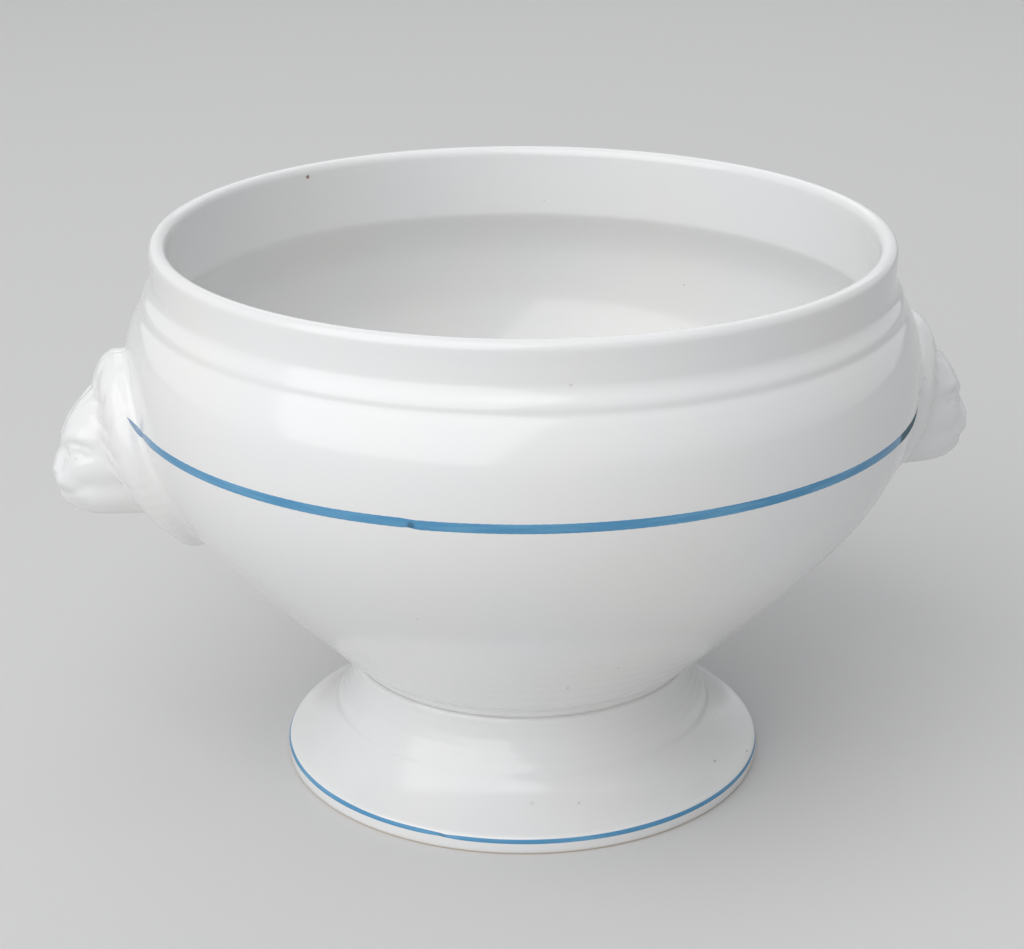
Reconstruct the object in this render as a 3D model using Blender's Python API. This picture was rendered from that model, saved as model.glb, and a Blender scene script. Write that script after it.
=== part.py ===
"""A footed salad bowl in glazed earthenware: a turned bowl, a turned hollow foot, two moulded lion heads
as handles, and painted blue lines. Metres, +Z up. The origin is the middle of the foot's resting ring,
and the lion heads look out along +X and -X."""
import math

import bmesh
import bpy
from mathutils import Matrix, Vector
from mathutils.geometry import interpolate_bezier

# Foot, from the table up
FOOT_EDGE_HEIGHT = 0.0058
FLARE_RISE = 0.0113
NECK_RISE = 0.0154
FOOT_STEP_ROUND = 0.0011
FOOT_EDGE_ROUND = 0.0016
STEM_RADIUS = 0.0545
FOOT_STEP_OUT = 0.0051
FOOT_FLARE_OUT = 0.0161
FOOT_WALL = 0.0060
RESTING_RING_WIDTH = 0.0062
RESTING_RING_ROUND = 0.0006

# Bowl, outside, from the joint with the foot up
STEM_RISE = 0.0051
STEM_FLARE = 0.0050
WALL_RISE = 0.0909
SHOULDER_RISE = 0.0210
BEAD_RISE = 0.0075
BEAD_OUT = 0.0032
COLLAR_HEIGHT = 0.0117
LIP_DEPTH = 0.0065
LIP_RADIUS = 0.1120
LIP_THICKNESS = 0.0052
COLLAR_SET_IN = 0.0002
BELLY_SWELL = 0.0088

# Bowl, inside
WALL = 0.0056
FLOOR_THICKNESS = 0.0075
FLOOR_ROUND_RISE = 0.0154
INNER_COLLAR_HEIGHT = 0.0230

# Lion heads
HEAD_DROP = 0.0205
HEAD_WIDTH = 0.0572
HEAD_TALL = 0.0610
HEAD_PROJECTION = 0.0237
MANE_REACH = 0.97
LOCK_COUNT = 20
LOCK_INSET = 0.0094
LOCK_LENGTH = 0.0096
LOCK_WIDTH = 0.0080
LOCK_THICKNESS = 0.0048
LOCK_LIFT = 0.0022
LOCK_DIP = math.radians(14)

# Painted lines
BODY_LINE_DROP = 0.0083
BODY_LINE_WIDTH = 0.0030
BODY_LINE_END_GAP = 0.0009
FOOT_LINE_DROP = 0.0015
FOOT_LINE_WIDTH = 0.0014
PAINT_THICKNESS = 0.0003

# Gap of the luted joints, and how finely the shapes are made
JOINT_GAP = 0.0003
TURNING_STEPS = 64
ROUND_POINTS = 4
CURVE_POINTS = 5
WALL_POINTS = 8
STEM_POINTS = 3
SEAM_WELD = 0.000003
BALL_SEGMENTS = 20
BALL_RINGS = 12
MOULD_GRAIN = 0.0011
MOULD_SOFTENING = 6
MOULD_FACE_SHARE = 0.07
SHARP_ANGLE = math.radians(50)

# Finishes
WHITE_GLAZE = (0.84, 0.83, 0.80)
WHITE_ROUGHNESS = 0.12
BLUE_PAINT = (0.10, 0.30, 0.52)
BLUE_ROUGHNESS = 0.20

# Heights and radii that follow from the sizes above
JOINT_HEIGHT = FOOT_EDGE_HEIGHT + FLARE_RISE + 2 * FOOT_STEP_ROUND + NECK_RISE + JOINT_GAP
BELLY_HEIGHT = JOINT_HEIGHT + STEM_RISE + WALL_RISE
SHOULDER_HEIGHT = BELLY_HEIGHT + SHOULDER_RISE
RIM_HEIGHT = SHOULDER_HEIGHT + BEAD_RISE + COLLAR_HEIGHT
BELLY_RADIUS = LIP_RADIUS + BELLY_SWELL
COLLAR_RADIUS = LIP_RADIUS - COLLAR_SET_IN
FOOT_STEP_RADIUS = STEM_RADIUS + FOOT_STEP_OUT
FOOT_RADIUS = FOOT_STEP_RADIUS + FOOT_FLARE_OUT
HEAD_HEIGHT = BELLY_HEIGHT - HEAD_DROP
BODY_LINE_HEIGHT = BELLY_HEIGHT - BODY_LINE_DROP
FOOT_LINE_HEIGHT = FOOT_EDGE_HEIGHT - FOOT_LINE_DROP

# How full each smooth curve is: the places of its two handles, as shares of the way out and up from its
# first end to its last.
BEAD_FULLNESS = ((0.05, 0.40), (0.90, 0.50))
SHOULDER_FULLNESS = ((0.70, 0.31), (1.00, 0.56))
WALL_FULLNESS = ((0.00, 0.373), (0.382, 0.574))
STEM_FULLNESS = ((0.55, 0.40), (1.00, 0.60))
FLOOR_FULLNESS = ((0.50, 0.00), (0.85, 0.35))
INNER_SHOULDER_FULLNESS = ((0.00, 0.55), (0.92, 0.86))
NECK_FULLNESS = ((0.04, 0.45), (0.55, 0.84))
FLARE_FULLNESS = ((0.24, 0.42), (0.58, 0.78))
HOLLOW_FULLNESS = ((0.40, 0.22), (0.90, 0.42))

# Where the rounds of the foot's edge and of its step start, in degrees up from straight out
FOOT_EDGE_START = 70
FOOT_STEP_START = 65

# The masses of one lion head. Each place and size is a share of the head's projection, half width and
# half height, measured from the belly's surface at the middle of the head: out, sideways, up.
# A mass that lies to the side is made on both sides of the face. The last value tips its top outward,
# in degrees.
FACE_MASSES = {
    "mane_dome": ((-0.42, 0.00, 0.03), (0.76, 0.88, 0.88), 14),
    "crown": ((0.10, 0.00, 0.56), (0.38, 0.48, 0.38), -20),
    "crown_side": ((0.05, 0.40, 0.45), (0.35, 0.33, 0.36), -16),
    "forehead": ((0.16, 0.00, 0.14), (0.64, 0.52, 0.50), 0),
    "brow": ((0.48, 0.24, 0.14), (0.28, 0.24, 0.14), 0),
    "eye": ((0.59, 0.33, -0.01), (0.11, 0.11, 0.09), 0),
    "nose_bridge": ((0.58, 0.00, -0.12), (0.36, 0.19, 0.34), 0),
    "nose_tip": ((0.78, 0.00, -0.29), (0.22, 0.20, 0.13), 0),
    "muzzle": ((0.50, 0.20, -0.34), (0.40, 0.28, 0.24), 0),
    "cheek": ((0.16, 0.36, -0.11), (0.46, 0.23, 0.38), 0),
    "jaw": ((0.14, 0.00, -0.42), (0.54, 0.48, 0.30), 0),
    "chin": ((0.52, 0.00, -0.49), (0.38, 0.30, 0.21), 0),
}


def clear_scene():
    for scene_object in list(bpy.data.objects):
        bpy.data.objects.remove(scene_object, do_unlink=True)


def material(name, colour, roughness):
    finish = bpy.data.materials.new(name)
    finish.use_nodes = True
    shader = finish.node_tree.nodes["Principled BSDF"]
    shader.inputs["Base Color"].default_value = (*colour, 1)
    shader.inputs["Roughness"].default_value = roughness
    shader.inputs["Metallic"].default_value = 0
    finish.diffuse_color = (*colour, 1)
    return finish


def curve(start, end, fullness, points=CURVE_POINTS):
    """Points of a smooth curve in the turning plane, as (radius, height), without its first point."""
    knots = [start]
    for out, up in fullness:
        knots.append((start[0] + out * (end[0] - start[0]), start[1] + up * (end[1] - start[1])))
    knots.append(end)
    path = interpolate_bezier(*[Vector((radius, height, 0)) for radius, height in knots], points + 1)
    return [(point.x, point.y) for point in path[1:]]


def arc(centre, size, first, last):
    """Points of a round from one angle to another, in degrees up from straight out, both ends included."""
    points = []
    for step in range(ROUND_POINTS):
        angle = math.radians(first + (last - first) * step / (ROUND_POINTS - 1))
        points.append((centre[0] + size * math.cos(angle), centre[1] + size * math.sin(angle)))
    return points


def lip_round(first, last):
    """A stretch of the lip's rounded top."""
    size = LIP_THICKNESS / 2
    return arc((LIP_RADIUS - size, RIM_HEIGHT - size), size, first, last)


def outer_wall():
    """The bowl's outer wall from the belly down to the top of the stem."""
    belly = (BELLY_RADIUS, BELLY_HEIGHT)
    stem_top = (STEM_RADIUS + STEM_FLARE, JOINT_HEIGHT + STEM_RISE)
    return [belly, *curve(belly, stem_top, WALL_FULLNESS, WALL_POINTS)]


def bowl_outside():
    """The bowl's outer profile from the top of the lip down to the joint with the foot."""
    bead_top = (COLLAR_RADIUS, SHOULDER_HEIGHT + BEAD_RISE)
    shoulder = (COLLAR_RADIUS + BEAD_OUT, SHOULDER_HEIGHT)
    wall = outer_wall()
    profile = lip_round(90, 0)
    profile.append((COLLAR_RADIUS, RIM_HEIGHT - LIP_DEPTH))
    profile.append(bead_top)
    profile += curve(bead_top, shoulder, BEAD_FULLNESS)
    profile += curve(shoulder, wall[0], SHOULDER_FULLNESS)
    profile += wall[1:]
    profile += curve(wall[-1], (STEM_RADIUS, JOINT_HEIGHT), STEM_FULLNESS, STEM_POINTS)
    return profile


def bowl_inside():
    """The bowl's inner profile from the middle of its floor up to the lip."""
    floor = (0, JOINT_HEIGHT + FLOOR_THICKNESS)
    wall = stretch(moved_out(outer_wall(), -WALL), BELLY_HEIGHT, floor[1] + FLOOR_ROUND_RISE)
    collar_foot = (LIP_RADIUS - LIP_THICKNESS, RIM_HEIGHT - INNER_COLLAR_HEIGHT)
    profile = [floor]
    profile += curve(floor, wall[-1], FLOOR_FULLNESS)
    profile += wall[-2::-1]
    profile += curve(wall[0], collar_foot, INNER_SHOULDER_FULLNESS)
    profile += lip_round(180, 90)[:-1]
    return profile


def foot_outside():
    """The foot's outer profile from the joint with the bowl down to the resting ring."""
    top = (STEM_RADIUS, JOINT_HEIGHT - JOINT_GAP)
    step_height = FOOT_EDGE_HEIGHT + FLARE_RISE + FOOT_STEP_ROUND
    step = arc((FOOT_STEP_RADIUS - FOOT_STEP_ROUND, step_height), FOOT_STEP_ROUND, FOOT_STEP_START, 0)
    flare_start = (FOOT_STEP_RADIUS, step_height - FOOT_STEP_ROUND)
    edge_centre = (FOOT_RADIUS - FOOT_EDGE_ROUND, FOOT_EDGE_HEIGHT - FOOT_EDGE_ROUND)
    edge = arc(edge_centre, FOOT_EDGE_ROUND, FOOT_EDGE_START, 0)
    ring_centre = (FOOT_RADIUS - RESTING_RING_ROUND, RESTING_RING_ROUND)
    profile = [top]
    profile += curve(top, step[0], NECK_FULLNESS)
    profile += step[1:]
    profile += [flare_start]
    profile += curve(flare_start, edge[0], FLARE_FULLNESS)
    profile += edge[1:]
    profile += arc(ring_centre, RESTING_RING_ROUND, 0, -90)
    return profile


def foot_inside():
    """The foot's hollow underside, from the resting ring up to the joint with the bowl."""
    ring_inner = FOOT_RADIUS - RESTING_RING_WIDTH
    start = (ring_inner, RESTING_RING_ROUND)
    top = (STEM_RADIUS - FOOT_WALL, JOINT_HEIGHT - JOINT_GAP)
    return [(ring_inner + RESTING_RING_ROUND, 0), start] + curve(start, top, HOLLOW_FULLNESS)


def moved_out(profile, distance):
    """A falling profile, moved square to itself by a distance to its outer side."""
    moved = []
    for index, (radius, height) in enumerate(profile):
        before = profile[max(index - 1, 0)]
        after = profile[min(index + 1, len(profile) - 1)]
        along = Vector((after[0] - before[0], after[1] - before[1])).normalized()
        moved.append((radius - along.y * distance, height + along.x * distance))
    return moved


def radius_at(profile, height):
    """A falling profile's radius at one height."""
    for upper, lower in zip(profile, profile[1:]):
        if lower[1] <= height <= upper[1] and upper[1] > lower[1]:
            share = (upper[1] - height) / (upper[1] - lower[1])
            return upper[0] + share * (lower[0] - upper[0])
    return profile[-1][0]


def stretch(profile, top, bottom):
    """The part of a falling profile between two heights, with a point at each end."""
    between = [point for point in profile if bottom < point[1] < top]
    return [(radius_at(profile, top), top), *between, (radius_at(profile, bottom), bottom)]


def add_object(name, mesh):
    scene_object = bpy.data.objects.new(name, mesh)
    bpy.context.collection.objects.link(scene_object)
    return scene_object


def turned(name, profile, closed, first_angle=0.0, sweep=math.tau, steps=TURNING_STEPS):
    """A piece turned about the Z axis from its profile. A closed profile is a ring, an open one ends on
    the axis, and a sweep of less than a whole turn is capped at both ends."""
    whole = math.isclose(sweep, math.tau)
    shape = bmesh.new()
    start = Matrix.Rotation(first_angle, 3, "Z")
    outline = [shape.verts.new(start @ Vector((radius, 0, height))) for radius, height in profile]
    for here, there in zip(outline, outline[1:] + outline[:1]):
        if closed or there is not outline[0]:
            shape.edges.new((here, there))
    swept = bmesh.ops.spin(shape, geom=outline + shape.edges[:], cent=(0, 0, 0), axis=(0, 0, 1),
                           angle=sweep, steps=steps, use_merge=whole)
    if whole:
        bmesh.ops.remove_doubles(shape, verts=shape.verts, dist=SEAM_WELD)
    else:
        far_end = [part for part in swept["geom_last"] if isinstance(part, bmesh.types.BMVert)]
        bmesh.ops.contextual_create(shape, geom=outline)
        bmesh.ops.contextual_create(shape, geom=far_end)
    bmesh.ops.recalc_face_normals(shape, faces=shape.faces)
    mesh = bpy.data.meshes.new(name)
    shape.to_mesh(mesh)
    shape.free()
    mesh.shade_smooth()
    mesh.set_sharp_from_angle(angle=SHARP_ANGLE)
    return add_object(name, mesh)


def make_bowl(finish):
    underside = [(0, JOINT_HEIGHT)]
    bowl = turned("bowl_body", bowl_inside() + bowl_outside() + underside, closed=False)
    bowl.data.materials.append(finish)


def make_foot(finish):
    foot = turned("pedestal_foot", foot_outside() + foot_inside(), closed=True)
    foot.data.materials.append(finish)


def line_section(surface, middle, width):
    """The cross section of a painted line that lies over a turned surface at a middle height."""
    under = stretch(surface, middle + width / 2, middle - width / 2)
    back = moved_out(under, JOINT_GAP)
    front = moved_out(under, JOINT_GAP + PAINT_THICKNESS)
    return front + back[::-1]


def make_body_lines(finish):
    """The line round the belly, broken by the two heads into a front and a back half."""
    wall = bowl_outside()
    lift = (BODY_LINE_HEIGHT - HEAD_HEIGHT) / (HEAD_TALL / 2)
    mane_edge = HEAD_WIDTH / 2 * MANE_REACH * math.sqrt(max(1 - lift * lift, 0))
    half_break = mane_edge + BODY_LINE_END_GAP
    end_angle = math.asin(half_break / radius_at(wall, BODY_LINE_HEIGHT))
    section = line_section(wall, BODY_LINE_HEIGHT, BODY_LINE_WIDTH)
    for name, first_angle in (("body_line_front", end_angle - math.pi), ("body_line_back", end_angle)):
        line = turned(name, section, closed=True, first_angle=first_angle,
                      sweep=math.pi - 2 * end_angle, steps=TURNING_STEPS // 2)
        line.data.materials.append(finish)


def make_foot_line(finish):
    section = line_section(foot_outside(), FOOT_LINE_HEIGHT, FOOT_LINE_WIDTH)
    turned("foot_line", section, closed=True).data.materials.append(finish)


def make_wall_guide():
    """A guide that fills the bowl's outside plus the joint's gap, to shape the backs of the heads."""
    profile = moved_out(bowl_outside(), JOINT_GAP)
    guide = turned("wall_guide", [(0, profile[0][1]), *profile, (0, profile[-1][1])], closed=False)
    guide.hide_render = True
    guide.display_type = "WIRE"
    return guide


def face_masses():
    """The masses of the face on the +X side, each as a matrix for a ball of radius one."""
    reach = (HEAD_PROJECTION, HEAD_WIDTH / 2, HEAD_TALL / 2)
    middle = Vector((BELLY_RADIUS, 0, HEAD_HEIGHT))
    placed = []
    for place, size, tip in FACE_MASSES.values():
        scale = Matrix.Diagonal([share * length for share, length in zip(size, reach)]).to_4x4()
        tilt = Matrix.Rotation(math.radians(tip), 4, "Y")
        for side in (1, -1) if place[1] else (1,):
            offset = Vector((place[0] * reach[0], side * place[1] * reach[1], place[2] * reach[2]))
            placed.append(Matrix.Translation(middle + offset) @ tilt @ scale)
    return placed


def mane_locks():
    """The ring of locks that lies on the wall round the face, each as a matrix for a ball of radius one."""
    wall = bowl_outside()
    placed = []
    for index in range(LOCK_COUNT):
        angle = math.tau * (index + 0.5) / LOCK_COUNT
        side = (HEAD_WIDTH / 2 - LOCK_INSET) * math.cos(angle)
        height = HEAD_HEIGHT + (HEAD_TALL / 2 - LOCK_INSET) * math.sin(angle)
        radius = radius_at(wall, height)
        spread = radius_at(wall, height + LOCK_WIDTH) - radius_at(wall, height - LOCK_WIDTH)
        root = Vector((math.sqrt(radius * radius - side * side), side, height))
        outward = Vector((root.x / radius, root.y / radius, -spread / (2 * LOCK_WIDTH))).normalized()
        along = Vector((0, math.cos(angle), math.sin(angle)))
        along = (along - along.dot(outward) * outward).normalized()
        axes = Matrix((outward, along.cross(outward), along)).transposed().to_4x4()
        dip = Matrix.Rotation(-LOCK_DIP, 4, "Y")
        scale = Matrix.Diagonal((LOCK_THICKNESS, LOCK_WIDTH, LOCK_LENGTH, 1))
        placed.append(Matrix.Translation(root + LOCK_LIFT * outward) @ axes @ dip @ scale)
    return placed


def make_heads(finish, guide):
    """Both heads come from one mould: the second is the first, turned half way round the bowl."""
    shape = bmesh.new()
    for matrix in face_masses() + mane_locks():
        bmesh.ops.create_uvsphere(shape, u_segments=BALL_SEGMENTS, v_segments=BALL_RINGS, radius=1,
                                  matrix=matrix)
    mesh = bpy.data.meshes.new("lion_head")
    shape.to_mesh(mesh)
    shape.free()
    mesh.materials.append(finish)
    for name, turn in (("lion_head_right", 0.0), ("lion_head_left", math.pi)):
        head = add_object(name, mesh)
        head.rotation_euler.z = turn
        fuse = head.modifiers.new("fuse", "REMESH")
        fuse.mode = "VOXEL"
        fuse.voxel_size = MOULD_GRAIN
        fuse.use_smooth_shade = True
        soften = head.modifiers.new("soften", "SMOOTH")
        soften.iterations = MOULD_SOFTENING
        thin = head.modifiers.new("thin", "DECIMATE")
        thin.ratio = MOULD_FACE_SHARE
        seat = head.modifiers.new("seat", "BOOLEAN")
        seat.operation = "DIFFERENCE"
        seat.solver = "EXACT"
        seat.object = guide


def main():
    clear_scene()
    white = material("white_glaze", WHITE_GLAZE, WHITE_ROUGHNESS)
    blue = material("blue_paint", BLUE_PAINT, BLUE_ROUGHNESS)
    make_bowl(white)
    make_foot(white)
    make_heads(white, make_wall_guide())
    make_body_lines(blue)
    make_foot_line(blue)


main()
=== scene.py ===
"""A footed salad bowl in white glazed earthenware, with moulded lion heads for handles and blue lines.

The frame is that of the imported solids: metres, +Z up, the origin in the middle of the foot's resting
ring, and the lion heads looking out along +X and -X. The shapes are drawn in millimetres and made in
metres."""
import math

import bpy
import numpy as np
from mathutils import Matrix, Vector
from mathutils.bvhtree import BVHTree
from mathutils.geometry import interpolate_bezier


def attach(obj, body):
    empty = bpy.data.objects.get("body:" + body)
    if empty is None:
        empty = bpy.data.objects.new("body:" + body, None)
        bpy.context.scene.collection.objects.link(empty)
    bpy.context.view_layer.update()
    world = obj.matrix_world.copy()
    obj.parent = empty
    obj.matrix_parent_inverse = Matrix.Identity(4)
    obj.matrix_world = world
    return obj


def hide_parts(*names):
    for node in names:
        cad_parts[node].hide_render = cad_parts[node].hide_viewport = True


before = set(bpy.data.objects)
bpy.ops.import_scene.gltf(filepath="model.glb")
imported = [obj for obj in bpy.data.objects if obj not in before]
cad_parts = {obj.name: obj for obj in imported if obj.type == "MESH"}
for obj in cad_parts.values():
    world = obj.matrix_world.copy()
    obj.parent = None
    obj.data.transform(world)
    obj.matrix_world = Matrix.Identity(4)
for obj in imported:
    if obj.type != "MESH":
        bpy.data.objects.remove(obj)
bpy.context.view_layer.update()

MM = 0.001

# Foot, from the table up
FOOT_RADIUS = 75.7
FOOT_EDGE_HEIGHT = 5.8
FOOT_EDGE_ROUND = 1.6
FOOT_STEP_RADIUS = 59.6
FOOT_STEP_HEIGHT = 18.2
FOOT_STEP_ROUND = 1.1
FOOT_WALL = 6.0
RESTING_RING_WIDTH = 6.2
RESTING_RING_ROUND = 0.6

# Bowl, from the joint with the foot up
STEM_RADIUS = 54.5
UNDERSIDE_RADIUS = 50.5
JOINT_HEIGHT = 34.4
JOINT_GROOVE = 0.45
JOINT_COVE = 1.7
STEM_TOP = (59.5, 40.1)
BELLY = (120.8, 131.0)
SHOULDER = (115.0, 152.0)
BEAD_TOP = (111.8, 159.5)
COLLAR_TOP = (111.8, 164.7)
LIP_RADIUS = 112.0
LIP_THICKNESS = 5.2
RIM_HEIGHT = 171.2
WALL = 5.6
FLOOR_HEIGHT = 42.5
FLOOR_ROUND_RISE = 15.4
INNER_COLLAR_HEIGHT = 23.0

# How full each smooth curve is: its two handles, as shares of the way out and up from its first end to
# its last
BEAD_FULLNESS = ((0.05, 0.40), (0.90, 0.50))
SHOULDER_FULLNESS = ((0.70, 0.31), (1.00, 0.56))
WALL_FULLNESS = ((0.00, 0.373), (0.382, 0.574))
STEM_FULLNESS = ((0.55, 0.40), (1.00, 0.80))
COVE_FULLNESS = ((0.00, 0.50), (0.85, 0.70))
FLOOR_FULLNESS = ((0.50, 0.00), (0.85, 0.35))
INNER_SHOULDER_FULLNESS = ((0.00, 0.55), (0.92, 0.86))
NECK_FULLNESS = ((0.04, 0.45), (0.55, 0.84))
FLARE_FULLNESS = ((0.24, 0.42), (0.58, 0.78))
HOLLOW_FULLNESS = ((0.40, 0.22), (0.90, 0.42))

# How finely the turned pieces are made, and how far the glaze rounds their creases
TURNING_STEPS = 256
CURVE_POINTS = 60
DRAWN_SPACING = 0.25
CLOSEST_POINTS = 0.42
WIDEST_POINTS = 2.4
CHORD_ERROR = 0.003
GLAZE_ROUNDING = 0.55
FOOT_GLAZE_ROUNDING = 0.85
ROUNDING_REACH = 3

# Turning marks: each is a middle height, a half width and a depth, outward where it is above zero
SHOULDER_MARKS = ((154.6, 1.5, 0.16), (151.7, 1.3, -0.16))
STEM_RINGS = 9
STEM_MARKS = tuple((38.4 + 4.4 * ring, 1.6, 0.075 - 0.006 * ring) for ring in range(STEM_RINGS))
FOOT_MARKS = ((32.6, 0.7, 0.07), (29.6, 1.0, 0.06), (25.8, 1.1, 0.07), (22.6, 1.0, 0.07))

# Painted lines. A wander is its size and the start of its draws, a lap is the step where two strokes
# meet, and a thinning is its share of the width, its place past the join and its spread, in degrees.
BODY_LINE_HEIGHT = 122.65
BODY_LINE_TILT = 0.25
BODY_LINE_HALF_WIDTH = 1.48
BODY_LINE_WANDER = (0.05, 4)
BODY_LINE_UNEVENNESS = (0.035, 7)
BODY_LINE_JOIN = -114.5
BODY_LINE_LAP = 0.16
BODY_LINE_THINNING = (0.12, -0.4, 0.7)
FOOT_LINE_HEIGHT = 4.3
FOOT_LINE_TILT = -0.2
FOOT_LINE_HALF_WIDTH = 0.68
FOOT_LINE_WANDER = (0.03, 11)
FOOT_LINE_UNEVENNESS = (0.03, 13)
FOOT_LINE_JOIN = -118.9
FOOT_LINE_LAP = 0.10
FOOT_LINE_THINNING = (0.3, 0.0, 3.0)
LAP_SHARPNESS = 0.5
LAP_FADE = 30
WANDER_WAVES = (3, 5, 9, 14, 23)
WANDER_FALL = 0.6
LINE_SECTION = (-1.0, -0.9, -0.6, -0.2, 0.2, 0.6, 0.9, 1.0)
LINE_RISE = 0.06
LINE_EDGE_SINK = 0.015
LINE_BED_SINK = 0.10
LINE_END_START = math.radians(20.0)
LINE_END_STEP = 0.12
LINE_NARROWING = 7.0
LINE_CLIMB = 1.8
LINE_CLIMB_ROUNDS = 6
LINE_MANE_RISE = 0.05
LINE_THINNEST = 0.01
LINE_STEPS = 320

# The second stroke over the right end of the front line: its angle round the bowl, spread, widening
# and sag
SECOND_STROKE = -14.0
SECOND_STROKE_SPREAD = 18.0
SECOND_STROKE_WIDENING = 0.5
SECOND_STROKE_SAG = 0.7

# Each end of a body line: how far from the wall the brush still touched the mane, and the line's width
# where the brush pressed hardest and at the mane, as shares of its own
LINE_ENDS = {
    "front": {"left": (2.5, 1.1, 0.75), "right": (0.12, 1.0, 1.0)},
    "back": {"left": (0.6, 1.1, 0.8), "right": (0.6, 1.1, 0.8)},
}

# Lion heads: the middle of the head on the belly, the grain of the mould and how it is rubbed off, and
# the slip that lutes the head to the wall
HEAD_HEIGHT = 110.5
HEAD_PROJECTION = 23.7
MOULD_GRAIN = 0.6
GRAIN_RUBS = 5
RUB_PUSHES = (0.50, -0.52)
HEAD_FILLET = 2.2
HEAD_LOW_FILLET = 6.0
LOW_FILLET_SPAN = (-10.0, 14.0)
HEAD_SINK = 0.12
HEAD_BURIAL = 1.6

# Camera, fitted to the rim, the lines and the foot
CAMERA_TURN = math.radians(-10.5)
CAMERA_DISTANCE = 700.0
CAMERA_HEIGHT = 358.7
CAMERA_PAN = -0.0048
CAMERA_TILT = 0.3639
CAMERA_LENS = 84.20
SENSOR_WIDTH = 36.0


# Turned pieces

def curve(start, end, fullness):
    """Points of a smooth curve in the turning plane, as (radius, height), with both ends."""
    knots = [start]
    for out, up in fullness:
        knots.append((start[0] + out * (end[0] - start[0]), start[1] + up * (end[1] - start[1])))
    knots.append(end)
    path = interpolate_bezier(*[Vector((radius, height, 0)) for radius, height in knots], CURVE_POINTS)
    return [(point.x, point.y) for point in path]


def arc(centre, size, first, last):
    """Points of a round from one angle to another, in degrees up from straight out."""
    angles = np.radians(np.linspace(first, last, CURVE_POINTS // 2))
    return [(centre[0] + size * math.cos(angle), centre[1] + size * math.sin(angle)) for angle in angles]


def respaced(points, spacing):
    """A drawn line with points at an even distance along it."""
    lengths = np.concatenate([[0], np.cumsum(np.hypot(*np.diff(points, axis=0).T))])
    keep = np.concatenate([[True], np.diff(lengths) > 1e-9])
    places = np.linspace(0, lengths[-1], max(int(lengths[-1] / spacing), 4))
    return np.column_stack([np.interp(places, lengths[keep], points[keep, axis]) for axis in (0, 1)])


def glazed(drawn, marks=(), rounding=GLAZE_ROUNDING):
    """A drawn profile as the glaze leaves it: creases rounded, turning marks added, and points spaced by
    its bends."""
    line = respaced(np.array(drawn, float), DRAWN_SPACING)
    reach = int(ROUNDING_REACH * rounding / DRAWN_SPACING)
    kernel = np.exp(-0.5 * (np.arange(-reach, reach + 1) * DRAWN_SPACING / rounding) ** 2)
    kernel /= kernel.sum()
    before = 2 * line[0] - line[reach:0:-1]
    after = 2 * line[-1] - line[-2:-reach - 2:-1]
    padded = np.vstack([before, line, after])
    line = np.column_stack([np.convolve(padded[:, axis], kernel, "valid") for axis in (0, 1)])
    along = np.gradient(line, axis=0)
    along /= np.hypot(*along.T)[:, None]
    square = np.column_stack([-along[:, 1], along[:, 0]])
    for middle, half_width, depth in marks:
        line = line + square * (depth * np.exp(-((line[:, 1] - middle) / half_width) ** 2))[:, None]
    along = np.gradient(line, axis=0)
    along /= np.hypot(*along.T)[:, None]
    bend = np.hypot(*np.gradient(along, axis=0).T) / DRAWN_SPACING
    spacing = np.sqrt(8 * CHORD_ERROR / np.maximum(bend, 1e-6))
    spacing = np.clip(spacing, CLOSEST_POINTS, WIDEST_POINTS)
    share = np.concatenate([[0], np.cumsum(DRAWN_SPACING / spacing[1:])])
    places = np.linspace(0, share[-1], int(share[-1]) + 2)
    return np.column_stack([np.interp(places, share, line[:, axis]) for axis in (0, 1)])


def outer_wall():
    """The bowl's outer wall from the belly down to the top of the stem."""
    return curve(BELLY, STEM_TOP, WALL_FULLNESS)


def lip_round(first, last):
    """Points of the lip's round, from one angle to another."""
    size = LIP_THICKNESS / 2
    return arc((LIP_RADIUS - size, RIM_HEIGHT - size), size, first, last)


def bowl_outside():
    """The bowl's outer profile from the top of the lip down to the groove at the joint with the foot."""
    drawn = lip_round(90, 0) + [COLLAR_TOP]
    drawn += curve(BEAD_TOP, SHOULDER, BEAD_FULLNESS)
    drawn += curve(SHOULDER, BELLY, SHOULDER_FULLNESS)
    drawn += outer_wall()
    stem_end = (STEM_RADIUS, JOINT_HEIGHT + JOINT_COVE)
    drawn += curve(STEM_TOP, stem_end, STEM_FULLNESS)
    return drawn + curve(stem_end, (STEM_RADIUS - JOINT_GROOVE, JOINT_HEIGHT), COVE_FULLNESS)


def bowl_inside():
    """The bowl's inner profile from the middle of its floor up to the lip."""
    wall = np.array(outer_wall())
    along = np.gradient(wall, axis=0)
    along /= np.hypot(*along.T)[:, None]
    wall = wall + WALL * np.column_stack([along[:, 1], -along[:, 0]])
    low, high = FLOOR_HEIGHT + FLOOR_ROUND_RISE, BELLY[1]
    ends = [np.interp(height, wall[::-1, 1], wall[::-1, 0]) for height in (low, high)]
    inner = wall[(wall[:, 1] > low) & (wall[:, 1] < high)][::-1].tolist()
    collar = (LIP_RADIUS - LIP_THICKNESS, RIM_HEIGHT - INNER_COLLAR_HEIGHT)
    drawn = curve((0, FLOOR_HEIGHT), (ends[0], low), FLOOR_FULLNESS) + inner
    drawn += curve((ends[1], high), collar, INNER_SHOULDER_FULLNESS)
    return drawn + lip_round(180, 90)


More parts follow.
